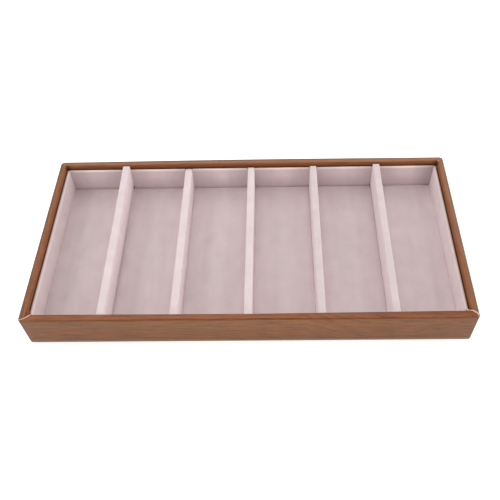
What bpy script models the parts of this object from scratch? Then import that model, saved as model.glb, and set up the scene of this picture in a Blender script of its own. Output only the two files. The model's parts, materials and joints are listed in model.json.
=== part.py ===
"""Shallow organizer tray: wood-grain wrapped walls, velvet lining, six compartments, lift-out dividers.

The tray stands on the XY plane, its long side along X and its front at -Y. The origin is the foot's middle.
"""

import math

import bmesh
import bpy
from mathutils import Vector

MM = 0.001

# Overall size of the tray
TRAY_LENGTH = 350 * MM
TRAY_DEPTH = 171 * MM
TRAY_HEIGHT = 32.3 * MM

# Clearance between pieces that touch
GAP = 0.3 * MM

# Walls: a fibreboard core inside a leatherette skin
SKIN = 0.5 * MM
WALL_BOARD = 3.8 * MM
RIM_ROUND = 1.1 * MM
FOOT_ROUND = 0.8 * MM
CORNER_ROUND = 3.2 * MM
CREASE_ROUND = 0.4 * MM
SKIN_INSIDE_DROP = 14 * MM
SKIN_UNDER_FOOT = 5 * MM
SEAM_WIDTH = 0.3 * MM
SEAM_X = -150 * MM
RABBET_DEPTH = 1.9 * MM

# Base and underside
BASE_BOARD = 1.8 * MM
UNDERSIDE_SHEET = 0.5 * MM

# Lining of the walls
VELVET = 0.5 * MM
LINER_BOARD = 0.8 * MM
LINER_BELOW_RIM = 4.5 * MM
LINER_TURN_BACK = 8 * MM
RIGHT_LINER_STAND_OFF = 0.4 * MM

# Lining of the floor
FLOOR_BOARD = 0.8 * MM
FLOOR_ROUND = 0.6 * MM

# Dividers: how far each one stands right of its even place, and its rear end off the floor
DIVIDER_PITCH = 57.3 * MM
DIVIDER_THICKNESS = 6.2 * MM
DIVIDER_HEIGHT = 23.2 * MM
DIVIDER_ROUND = 1 * MM
DIVIDER_SHIFTS = (0.7 * MM, 0.2 * MM, 0.35 * MM, -0.1 * MM, -0.35 * MM)
REAR_LIFTS = (5 * MM, 0.1 * MM, 0.9 * MM, 2 * MM, 3.5 * MM)

ARC_STEPS = 4

# Sizes that follow from those above
COVER = SKIN + GAP
RIM_WIDTH = WALL_BOARD + 2 * COVER
WALL_TOP = TRAY_HEIGHT - COVER
BASE_TOP = COVER + BASE_BOARD
ON_BASE = BASE_TOP + GAP
FLOOR_BOARD_TOP = ON_BASE + FLOOR_BOARD
FLOOR_TOP = FLOOR_BOARD_TOP + GAP + VELVET
LINER_THICKNESS = LINER_BOARD + 2 * (VELVET + GAP)
LINER_BACK = RIM_WIDTH + GAP
LINER_FACE = LINER_BACK + LINER_THICKNESS
LINER_TOP = TRAY_HEIGHT - LINER_BELOW_RIM
SLOT_WIDTH = DIVIDER_THICKNESS + 2 * GAP
HALF_LENGTH = TRAY_LENGTH / 2
HALF_DEPTH = TRAY_DEPTH / 2
DIVIDER_ROOM = TRAY_DEPTH - 2 * (RIM_WIDTH + GAP)
MOST_TILT = math.asin(max(REAR_LIFTS) / DIVIDER_ROOM)
DIVIDER_LENGTH = (DIVIDER_ROOM - DIVIDER_HEIGHT * math.sin(MOST_TILT)) / math.cos(MOST_TILT)


def clear_scene():
    for thing in list(bpy.data.objects):
        bpy.data.objects.remove(thing)


def new_collection(name, shown=True):
    made = bpy.data.collections.new(name)
    made.hide_render = not shown
    bpy.context.scene.collection.children.link(made)
    return made


def linear(channel):
    """An sRGB channel from 0 to 1 as linear light."""
    return channel / 12.92 if channel <= 0.04045 else ((channel + 0.055) / 1.055) ** 2.4


def new_material(name, colour, roughness):
    made = bpy.data.materials.new(name)
    made.use_nodes = True
    shader = made.node_tree.nodes["Principled BSDF"]
    channels = [linear(int(colour[at : at + 2], 16) / 255) for at in (0, 2, 4)]
    shader.inputs["Base Color"].default_value = (*channels, 1)
    shader.inputs["Roughness"].default_value = roughness
    shader.inputs["Metallic"].default_value = 0
    return made


def finish(name, mesh, material, collection):
    """Turns a bmesh into a named object in a collection."""
    data = bpy.data.meshes.new(name)
    mesh.to_mesh(data)
    mesh.free()
    made = bpy.data.objects.new(name, data)
    if material:
        data.materials.append(material)
    collection.objects.link(made)
    return made


def block_mesh(low, high):
    """A bmesh box between two corners."""
    mesh = bmesh.new()
    bmesh.ops.create_cube(mesh, size=1)
    low, high = Vector(low), Vector(high)
    bmesh.ops.scale(mesh, vec=high - low, verts=mesh.verts)
    bmesh.ops.translate(mesh, vec=(low + high) / 2, verts=mesh.verts)
    return mesh


def round_edges(mesh, radius, chosen):
    """Bevels the edges whose two ends both satisfy a test."""
    edges = [edge for edge in mesh.edges if all(chosen(vert.co) for vert in edge.verts)]
    bmesh.ops.bevel(mesh, geom=edges, offset=radius, segments=ARC_STEPS, profile=0.5, affect="EDGES")


def board(name, low, high, material, top_round=0, outer_face=None):
    """A plain board, its upper edges rounded where asked, and the upright corners of an outer face."""
    mesh = block_mesh(low, high)
    if outer_face is not None:
        for corner in (Vector((low[0], outer_face)), Vector((high[0], outer_face))):
            round_edges(mesh, CORNER_ROUND - COVER, lambda point: (point.xy - corner).length < GAP / 2)
    if top_round:
        round_edges(mesh, top_round, lambda point: point.z > high[2] - GAP / 2)
    return finish(name, mesh, material, PARTS)


def hood(name, low, high, thickness, radius, material):
    """A thin cover over a board: a top and four sides, open underneath."""
    mesh = block_mesh(low, high)
    bottom = [face for face in mesh.faces if face.normal.z < -0.5]
    bmesh.ops.delete(mesh, geom=bottom, context="FACES_ONLY")
    round_edges(mesh, radius, lambda point: point.z > high[2] - GAP / 2)
    made = finish(name, mesh, material, PARTS)
    thicken(made, thickness)
    shade_round(made)
    return made


def sheet_through(rows):
    """A bmesh sheet through rows of points. With rows that run to the right, each one above the last, it
    faces the viewer."""
    mesh = bmesh.new()
    across, along = len(rows[0]) - 1, len(rows) - 1
    bmesh.ops.create_grid(mesh, x_segments=across, y_segments=along, size=0.5)
    for vert in mesh.verts:
        row = round((vert.co.y + 0.5) * along)
        column = round((vert.co.x + 0.5) * across)
        vert.co = rows[row][column]
    mesh.normal_update()
    return mesh


def thicken(thing, thickness):
    """Gives an open sheet its thickness on the side away from its normals."""
    wall = thing.modifiers.new("thickness", "SOLIDIFY")
    wall.thickness = thickness
    wall.offset = -1
    wall.use_even_offset = True


def shade_round(thing):
    thing.data.shade_smooth()
    thing.data.set_sharp_from_angle(angle=math.radians(40))


def cut(thing, name, low, high, turn=0.0, about=(0, 0, 0)):
    """Takes a box away from a piece. The box may be turned about Z round a point."""
    middle = Vector(about)
    tool = finish(name, block_mesh(Vector(low) - middle, Vector(high) - middle), None, CUTTERS)
    tool.location = middle
    tool.rotation_euler.z = turn
    tool.hide_render = True
    tool.display_type = "WIRE"
    boolean = thing.modifiers.new(name, "BOOLEAN")
    boolean.operation = "DIFFERENCE"
    boolean.object = tool


def arc(centre, radius, start, end, steps=ARC_STEPS):
    """Points along a circular arc in a plane, its angles in degrees."""
    points = []
    for step in range(steps + 1):
        angle = math.radians(start + (end - start) * step / steps)
        points.append((centre[0] + radius * math.cos(angle), centre[1] + radius * math.sin(angle)))
    return points


def skin_section():
    """The skin's outer face, from under the foot up and over: distance in from the tray's side, height."""
    top = TRAY_HEIGHT - RIM_ROUND
    return [
        (SKIN_UNDER_FOOT, 0),
        *arc((FOOT_ROUND, FOOT_ROUND), FOOT_ROUND, 270, 180),
        *arc((RIM_ROUND, top), RIM_ROUND, 180, 90),
        *arc((RIM_WIDTH - RIM_ROUND, top), RIM_ROUND, 90, 0),
        (RIM_WIDTH, TRAY_HEIGHT - SKIN_INSIDE_DROP),
    ]


def outline(inset):
    """The tray's outline at a distance in from its sides, anticlockwise from the rear seam round to it."""
    radius = max(CORNER_ROUND - inset, CREASE_ROUND)
    rear = HALF_DEPTH - inset
    points = [(SEAM_X - SEAM_WIDTH / 2, rear)]
    for quarter, (side_x, side_y) in enumerate(((-1, 1), (-1, -1), (1, -1), (1, 1)), 1):
        centre = (side_x * (HALF_LENGTH - inset - radius), side_y * (rear - radius))
        points += arc(centre, radius, 90 * quarter, 90 * quarter + 90)
    return points + [(SEAM_X + SEAM_WIDTH / 2, rear)]


def wrapped_skin(material):
    """One strip of leatherette round all four walls, folded over the rim and under the foot.

    Its ends meet at the rear, and a slit along each mitre parts it at the corners of the rim.
    """
    rows = [[(*point, height) for point in outline(inset)] for inset, height in skin_section()]
    made = finish("leatherette_wrap", sheet_through(rows), material, PARTS)
    thicken(made, SKIN)
    shade_round(made)

    reach = RIM_WIDTH + SKIN_UNDER_FOOT
    start = RIM_ROUND + CORNER_ROUND * (1 - math.sqrt(0.5))
    for name, side_x, side_y in (
        ("mitre_front_left", -1, -1),
        ("mitre_front_right", 1, -1),
        ("mitre_rear_right", 1, 1),
        ("mitre_rear_left", -1, 1),
    ):
        corner = Vector((side_x * (HALF_LENGTH - start), side_y * (HALF_DEPTH - start), 0))
        low = corner + Vector((0, -SEAM_WIDTH / 2, TRAY_HEIGHT - SKIN_INSIDE_DROP - SKIN))
        high = corner + Vector((reach, SEAM_WIDTH / 2, TRAY_HEIGHT + SKIN))
        cut(made, name, low, high, turn=math.atan2(-side_y, -side_x), about=corner)


def walls(material):
    """Four boards lapped at the corners, with a rabbet along the foot that holds the base."""
    end = HALF_LENGTH - COVER
    face = HALF_DEPTH - COVER
    inner = RIM_ROUND - COVER
    lap = end - WALL_BOARD - GAP
    shoulder = ON_BASE
    for name, side in (("front", -1), ("rear", 1)):
        near, far = sorted((side * face, side * (face - WALL_BOARD)))
        low, high = (-end, near, COVER), (end, far, WALL_TOP)
        made = board(f"{name}_board", low, high, material, inner, outer_face=side * face)
        low, high = sorted((side * (face - RABBET_DEPTH), side * (face - 2 * WALL_BOARD)))
        cut(made, f"{name}_base_rabbet", (-end - GAP, low, 0), (end + GAP, high, shoulder))
        for hand, way in (("left", -1), ("right", 1)):
            start, stop = sorted((way * lap, way * (end + COVER)))
            cut(made, f"{name}_{hand}_lap", (start, low, 0), (stop, high, TRAY_HEIGHT))
    reach = face - RABBET_DEPTH - GAP
    for name, side in (("left", -1), ("right", 1)):
        near, far = sorted((side * end, side * (end - WALL_BOARD)))
        made = board(f"{name}_board", (near, -reach, COVER), (far, reach, WALL_TOP), material, inner)
        low, high = sorted((side * (end - RABBET_DEPTH), side * (end - 2 * WALL_BOARD)))
        cut(made, f"{name}_base_rabbet", (low, -face, 0), (high, face, shoulder))


def base(board_material, sheet_material):
    """The base let into the walls' rabbets, and the sheet glued under it inside the skin's turned edge."""
    inset = COVER + RABBET_DEPTH + GAP
    length, depth = HALF_LENGTH - inset, HALF_DEPTH - inset
    board("base_board", (-length, -depth, COVER), (length, depth, BASE_TOP), board_material)
    inset = SKIN_UNDER_FOOT + GAP
    length, depth = HALF_LENGTH - inset, HALF_DEPTH - inset
    board("underside_sheet", (-length, -depth, 0), (length, depth, UNDERSIDE_SHEET), sheet_material)


def floor_lining(board_material, velvet_material):
    """A covered board that drops in between the wall linings."""
    inset = LINER_FACE + GAP
    low = Vector((inset - HALF_LENGTH, inset - HALF_DEPTH, ON_BASE))
    high = Vector((HALF_LENGTH - inset - RIGHT_LINER_STAND_OFF, HALF_DEPTH - inset, FLOOR_TOP))
    hood("floor_velvet", low, high, VELVET, FLOOR_ROUND, velvet_material)
    inside = VELVET + GAP
    low += Vector((inside, inside, 0))
    high -= Vector((inside, inside, inside))
    board("floor_board", low, high, board_material)


def liner(name, start, end, board_material, velvet_material):
    """A strip of board with velvet over its face and top edge, from a start to an end point along its wall.

    The wall is on the left of the way from start to end.
    """
    start, end = Vector((*start, 0)), Vector((*end, 0))
    along = end - start
    out = Vector((along.y, -along.x, 0)).normalized()
    fold = LINER_THICKNESS / 2
    section = [
        (0, LINER_TOP - LINER_TURN_BACK),
        *arc((fold, LINER_TOP - fold), fold, 180, 0, steps=2 * ARC_STEPS),
        (LINER_THICKNESS, ON_BASE),
    ]
    rows = []
    for across, height in section:
        offset = out * across + Vector((0, 0, height))
        rows.append([end + offset, start + offset])
    cover = finish(f"{name}_velvet", sheet_through(rows), velvet_material, PARTS)
    thicken(cover, VELVET)
    shade_round(cover)

    inside = VELVET + GAP
    corners = [
        start + out * inside + Vector((0, 0, ON_BASE)),
        end + out * (inside + LINER_BOARD) + Vector((0, 0, LINER_TOP - fold)),
    ]
    low = [min(values) for values in zip(*corners)]
    high = [max(values) for values in zip(*corners)]
    board(f"{name}_board", low, high, board_material)


def wall_linings(board_material, velvet_material):
    """Strips along the front and rear with slots for the dividers between them, and one strip a side."""
    side = HALF_LENGTH - LINER_BACK
    face = HALF_DEPTH - LINER_BACK
    right = side - RIGHT_LINER_STAND_OFF
    slots = [divider_x(number) for number in range(len(REAR_LIFTS))]
    starts = [-side] + [at + SLOT_WIDTH / 2 for at in slots]
    ends = [at - SLOT_WIDTH / 2 for at in slots] + [side]
    for number, (start, end) in enumerate(zip(starts, ends), 1):
        liner(f"rear_liner_{number}", (start, face), (end, face), board_material, velvet_material)
        liner(f"front_liner_{number}", (end, -face), (start, -face), board_material, velvet_material)
    reach = HALF_DEPTH - LINER_FACE - GAP
    liner("left_liner", (-side, -reach), (-side, reach), board_material, velvet_material)
    liner("right_liner", (right, reach), (right, -reach), board_material, velvet_material)


def divider_x(number):
    return (number - (len(REAR_LIFTS) - 1) / 2) * DIVIDER_PITCH + DIVIDER_SHIFTS[number]


def dividers(board_material, velvet_material):
    """Covered boards that stand in the slots and lift out. Each one hangs on an empty at its front foot."""
    for number, lift in enumerate(REAR_LIFTS):
        tilt = math.asin(lift / DIVIDER_LENGTH)
        span = DIVIDER_LENGTH * math.cos(tilt) + DIVIDER_HEIGHT * math.sin(tilt)
        front = -span / 2 + DIVIDER_HEIGHT * math.sin(tilt)
        slide = bpy.data.objects.new(f"divider_{number + 1}_slide", None)
        slide.location = (divider_x(number), front, FLOOR_TOP + GAP)
        slide.rotation_euler.x = tilt
        PARTS.objects.link(slide)
        half = DIVIDER_THICKNESS / 2
        cover = hood(
            f"divider_{number + 1}_velvet",
            (-half, 0, 0),
            (half, DIVIDER_LENGTH, DIVIDER_HEIGHT),
            VELVET,
            DIVIDER_ROUND,
            velvet_material,
        )
        inside = VELVET + GAP
        core = board(
            f"divider_{number + 1}_board",
            (inside - half, inside, 0),
            (half - inside, DIVIDER_LENGTH - inside, DIVIDER_HEIGHT - inside),
            board_material,
            DIVIDER_ROUND - inside,
        )
        cover.parent = slide
        core.parent = slide


clear_scene()
PARTS = new_collection("organizer_tray")
CUTTERS = new_collection("cutters", shown=False)

fibreboard = new_material("fibreboard", "B08A62", 0.8)
greyboard = new_material("greyboard", "9A948C", 0.9)
leatherette = new_material("wood_grain_leatherette", "8E6650", 0.5)
velvet = new_material("dusty_pink_velvet", "C6B0AE", 0.95)
backing_cloth = new_material("brown_backing_cloth", "5B4638", 0.9)

walls(fibreboard)
base(fibreboard, backing_cloth)
wrapped_skin(leatherette)
floor_lining(greyboard, velvet)
wall_linings(greyboard, velvet)
dividers(fibreboard, velvet)
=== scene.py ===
"""Looks of a divided organizer tray: wood-grain wrap, dusty pink velvet, bare boards and a plain studio."""

import json
import math

import bmesh
import bpy
from mathutils import Matrix, Vector, noise


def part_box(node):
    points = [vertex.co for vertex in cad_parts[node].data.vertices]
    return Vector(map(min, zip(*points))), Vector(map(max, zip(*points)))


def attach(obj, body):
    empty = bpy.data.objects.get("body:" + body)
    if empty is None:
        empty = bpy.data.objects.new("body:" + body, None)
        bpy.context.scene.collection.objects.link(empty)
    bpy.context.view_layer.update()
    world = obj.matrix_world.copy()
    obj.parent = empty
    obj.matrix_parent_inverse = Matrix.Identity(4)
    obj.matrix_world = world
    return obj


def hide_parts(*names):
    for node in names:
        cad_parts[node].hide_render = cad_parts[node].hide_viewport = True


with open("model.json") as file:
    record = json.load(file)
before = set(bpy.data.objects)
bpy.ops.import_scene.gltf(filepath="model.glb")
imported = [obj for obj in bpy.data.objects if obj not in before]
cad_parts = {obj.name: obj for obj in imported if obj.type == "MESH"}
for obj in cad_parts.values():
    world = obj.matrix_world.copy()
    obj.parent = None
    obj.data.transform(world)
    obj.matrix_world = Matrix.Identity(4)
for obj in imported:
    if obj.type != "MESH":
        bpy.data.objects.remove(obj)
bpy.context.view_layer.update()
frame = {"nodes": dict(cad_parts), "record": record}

bl_info = {
    "name": "Divided organizer tray",
    "version": (1, 0, 0),
    "blender": (4, 5, 0),
    "location": "3D View > Sidebar > Tray",
    "description": "Models a wood-grain tray lined with velvet and split by lift-out dividers",
    "category": "Add Mesh",
}

MM = 0.001

# The tray's own places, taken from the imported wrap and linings
HALF_LENGTH, HALF_DEPTH, RIM_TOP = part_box("leatherette_wrap")[1]
FLOOR_LOW, FLOOR_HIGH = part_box("floor_velvet")
LEFT_FACE, RIGHT_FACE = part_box("left_liner_velvet")[1].x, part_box("right_liner_velvet")[0].x
FRONT_FACE, REAR_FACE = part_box("front_liner_1_velvet")[1].y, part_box("rear_liner_1_velvet")[0].y
DIVIDER_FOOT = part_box("divider_1_velvet")[0].z
WALL_STRIPS = [f"{wall}_liner_{place}" for wall in ("rear", "front") for place in range(1, 7)]
WALL_STRIPS += ["left_liner", "right_liner"]

# Signs of the tray's four corners, anticlockwise from the rear left
QUARTERS = ((-1, 1), (-1, -1), (1, -1), (1, 1))

# The wrap's strip is measured along the tray's sides, anticlockwise from the rear left corner, and across from its
# edge under the foot, up and over the rim. Its corners are the rear right one, where the rear's run starts, and
# then the others in turn.
FRONT_START = 2 * HALF_DEPTH
FRONT_MIDDLE = FRONT_START + HALF_LENGTH
FRONT_END = FRONT_START + 2 * HALF_LENGTH
CORNERS = [-2 * HALF_LENGTH, 0, FRONT_START, FRONT_END, FRONT_END + FRONT_START]
FOOT_FOLD = 5 * MM
SEAM_X = -150 * MM


def linear(code):
    """A hex sRGB colour as linear red, green and blue."""
    channels = [int(code[at : at + 2], 16) / 255 for at in (0, 2, 4)]
    return tuple(c / 12.92 if c <= 0.04045 else ((c + 0.055) / 1.055) ** 2.4 for c in channels)


def number(name, value, description, subtype="NONE", unit="NONE"):
    """A number that the user may change."""
    return bpy.props.FloatProperty(
        name=name, description=description, default=value, min=0, precision=4, subtype=subtype, unit=unit
    )


def size(name, millimetres, description):
    """A length that the user may change."""
    return number(name, millimetres * MM, description, "DISTANCE", "LENGTH")


def power(name, watts, description):
    """A lamp's power that the user may change."""
    return number(name, watts, description, "POWER", "POWER")


def colour(name, code, description):
    """A colour that the user may change."""
    return bpy.props.FloatVectorProperty(
        name=name, description=description, default=linear(code), size=3, min=0, max=1, subtype="COLOR"
    )


class TraySizes(bpy.types.PropertyGroup):
    """Sizes of the tray's soft and wrapped pieces"""

    rim_width: size("Rim width", 5.4, "Width of the wrapped rim seen from above")
    wrap: size("Wrap thickness", 0.5, "Thickness of the leatherette")
    rim_round: size("Rim rounding", 1.1, "Radius of the rim's outer edge")
    rim_inner_round: size("Inner rim rounding", 0.8, "Radius of the rim's inner edge")
    foot_round: size("Foot rounding", 0.45, "Radius of the fold along the foot")
    corner_round: size("Corner rounding", 2.6, "Radius of the two upright corners at the front")
    rear_corner_round: size("Rear corner rounding", 3.6, "Radius of the two upright corners at the rear")
    crease_round: size("Crease rounding", 0.4, "Radius of the upright inside corners")
    left_bow: size("Left bow", 0.7, "How much wider the front rim is at its left end")
    right_bow: size("Right bow", 1.3, "How much wider the front rim is at its right end")
    lap_length: size("Lap length", 12, "How far back from a corner a lapped flap stands off")
    lap_lift: size("Lap lift", 0.28, "How far a lapped flap stands above the flap under it")
    inside_drop: size("Inside drop", 14, "How far the wrap goes down inside the rim")
    under_foot: size("Turn under", 5, "How far the wrap turns under the foot")
    velvet: size("Velvet thickness", 0.5, "Thickness of the velvet with its pile")
    strip_round: size("Lining top rounding", 1.15, "Radius of the wall linings' top edges")
    divider_height: size("Divider height", 23.2, "Height of a divider")
    divider_thickness: size("Divider thickness", 6.2, "Thickness of a divider over its velvet")
    divider_round: size("Divider rounding", 1.1, "Radius of a divider's top edges")
    divider_end_round: size("Divider end rounding", 1.4, "Radius of the folds at a divider's two ends")
    lining_end_round: size("Lining end rounding", 2.3, "Radius of the linings' upright edges in the tray's corners")
    rear_lean: size("Rear lean", 0.8, "How far the rear linings come forward at their foot")
    rear_crown: size("Rear crown", 0.3, "How much higher the rear rim is at its middle")
    floor_fillet: size("Floor fillet", 0.5, "How far the floor lining's pile stands up along the walls")
    pile_waver: size("Pile waver", 0.12, "How far the velvet's faces stray from flat")


class TrayColours(bpy.types.PropertyGroup):
    """Colours of the tray's finishes"""

    wood: colour("Wood", "96592E", "Main brown of the printed grain")
    wood_dark: colour("Dark grain", "6F4224", "Dark streaks of the printed grain")
    wood_light: colour("Light grain", "A7693C", "Light streaks of the printed grain")
    wood_grey: colour("Grey grain", "86603F", "Greyish drift of the printed grain")
    # Besides the print's dark pores, this colour is painted shade and a painted dark reflection along the rim's
    # folds, and painted shade in its inner corners
    fold: colour("Folded print", "5A2A12", "Print where the wrap is stretched over a fold")
    # This grey is a painted reflection along the outer folds and upright corners, and painted shade on the front's
    # inner fold
    painted_grey_edge: colour("Worn print", "5C5048", "Print rubbed thin and greyish along the outer folds")
    # This is painted shade inside the rim, behind the lining
    shade: colour("Shaded print", "4E200F", "Print inside the rim, where dust and dye gather behind the lining")
    front_cast: colour("Red cast", "9F3055", "Cast of the print over the front rim")
    rim_cast: colour("Pink cast", "A06159", "Cast of the print over the other rims")
    # This is a painted reflection along the outer halves of the rear and right rims
    rim_reflection: colour("Hazy rim", "9E7C6C", "Dusty outer half of the rear and right rims")
    # A paler, greyish band along the foot
    foot: colour("Worn foot", "9A8A78", "Print rubbed pale along the foot")
    backing: colour("Cut edge", "DDB298", "Cotton backing that shows at a cut end of the wrap")
    velvet: colour("Velvet", "E8D8D9", "Velvet with its pile brushed one way")
    velvet_dark: colour("Velvet against the nap", "DBCBCB", "Velvet with its pile brushed the other way")
    # This is a painted highlight along the linings' tops, warmed by painted light thrown back from the rim
    velvet_warm: colour("Velvet by the rim", "EFCFBE", "Velvet along the linings' tops, warmed by the rim")
    velvet_sheen: colour("Velvet sheen", "FFF4F4", "Light that the pile throws at a low angle")
    fibreboard: colour("Fibreboard", "B08A62", "Raw medium-density fibreboard")
    greyboard: colour("Grey board", "9A948C", "Raw grey board")
    cloth: colour("Backing cloth", "5B4638", "Cloth under the base")
    floor: colour("Studio floor", "F4F4F4", "Plain pale floor under the tray")


class TrayStudio(bpy.types.PropertyGroup):
    """Camera and lamps"""

    lens: number("Lens", 45.904, "Focal length in millimetres", "DISTANCE_CAMERA", "CAMERA")
    left: power("Left lamp", 7.2, "Power of the soft box on the left")
    left_low: power("Low left lamp", 3.6, "Power of the soft box low on the left")
    right: power("Right lamp", 5, "Power of the soft box on the right")
    right_low: power("Low right lamp", 9, "Power of the soft box low on the right")
    rear: power("Rear lamp", 3.7, "Power of the soft box behind the tray")
    front: power("Front lamp", 1.8, "Power of the soft box below the camera")
    surround: number("Surround", 0.38, "Strength of the white surround", "FACTOR")


# Kinds of shader node that are added most, and which inputs and output of a Mix node carry colours
MATH, RANGE, MIX = "ShaderNodeMath", "ShaderNodeMapRange", "ShaderNodeMix"
MIX_A, MIX_B, MIX_OUT = 6, 7, 2
WHITE = (1, 1, 1)


def put(tree, sockets, given):
    """Fills a node's inputs, in order or by name. Each is given a value, a colour or a socket to link from."""
    for place, value in given.items() if isinstance(given, dict) else enumerate(given):
        if isinstance(value, bpy.types.NodeSocket):
            tree.links.new(value, sockets[place])
        else:
            sockets[place].default_value = (*value, 1) if sockets[place].type == "RGBA" else value


def add(tree, kind, inputs=(), output=0, **settings):
    """Adds a shader node with its settings and links, and gives one of its outputs."""
    made = tree.nodes.new(kind)
    for name, value in settings.items():
        setattr(made, name, value)
    put(tree, made.inputs, inputs)
    return made.outputs[output]


def pattern(tree, place, lengths, detail, roughness=0.5, **settings):
    """Noise whose features have these lengths along the three axes, in metres."""
    placed = add(tree, "ShaderNodeMapping", {"Vector": place, "Scale": [1 / length for length in lengths]})
    inputs = {"Vector": placed, "Scale": 1, "Detail": detail, "Roughness": roughness}
    return add(tree, "ShaderNodeTexNoise", inputs, **settings)


def layered(tree, first, *more):
    """Lays more patterns over a first one, each with its weight."""
    for one, weight in more:
        first = add(tree, MATH, (one, weight, first), operation="MULTIPLY_ADD")
    return first


def from_nearest(tree, socket, places):
    """How far a socket's value is from the nearest of some places."""
    nearest = None
    for place in places:
        away = add(tree, MATH, (socket, place), operation="SUBTRACT")
        away = add(tree, MATH, (away,), operation="ABSOLUTE")
        nearest = add(tree, MATH, (nearest, away), operation="MINIMUM") if nearest else away
    return nearest


def tinted(tree, base, tint, *shares, how="MIX"):
    """Lays a tint over a colour, as strongly as the product of its shares.

    A share is a socket, or a socket and the two values between which the share goes from 0 to 1, or from a third
    number to a fourth.
    """
    strength = None
    for share in shares:
        if isinstance(share, tuple):
            share = add(tree, RANGE, share)
        strength = add(tree, MATH, (strength, share), operation="MULTIPLY") if strength else share
    colours = {0: strength, MIX_A: base, MIX_B: tint}
    return add(tree, MIX, colours, MIX_OUT, data_type="RGBA", blend_type=how)


def new_material(name, **constants):
    """A Principled material with its constant values on the shader's own sockets."""
    made = bpy.data.materials.new(name)
    made.use_nodes = True
    tree = made.node_tree
    surface = tree.nodes["Principled BSDF"].inputs
    put(tree, surface, {socket.replace("_", " "): value for socket, value in constants.items()})
    return made, tree, surface


def put_on(tree, surface, tint, height, strength, depth):
    """Gives a surface its colour, and a relief from a pattern of heights, its depth in metres."""
    relief = {"Height": height, "Strength": strength, "Distance": depth}
    put(tree, surface, {"Base Color": tint, "Normal": add(tree, "ShaderNodeBump", relief)})


# The printed grain's bold and fine streaks, its tone and its pores: their length and width in millimetres, detail
# and roughness. Pores are 0.1 mm wide in a real print and are drawn at 0.35 mm so that they show.
GRAIN = ((55, 3.2, 3, 0.55), (22, 1.5, 3, 0.65), (130, 11, 2, 0.55), (4.5, 0.35, 1, 0.55))
# The length and width of the grain's slow waver, and how far it carries the grain
WAVER, WAVER_REACH = (90 * MM, 30 * MM, 1), 8 * MM
# The steep figure in the front's grain: where it starts and ends, how far it falls, and how suddenly it starts
FIGURE_START, FIGURE_END = FRONT_MIDDLE + 45 * MM, FRONT_MIDDLE + 130 * MM
FIGURE_FALL, FIGURE_POWER = 17 * MM, 4


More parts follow.
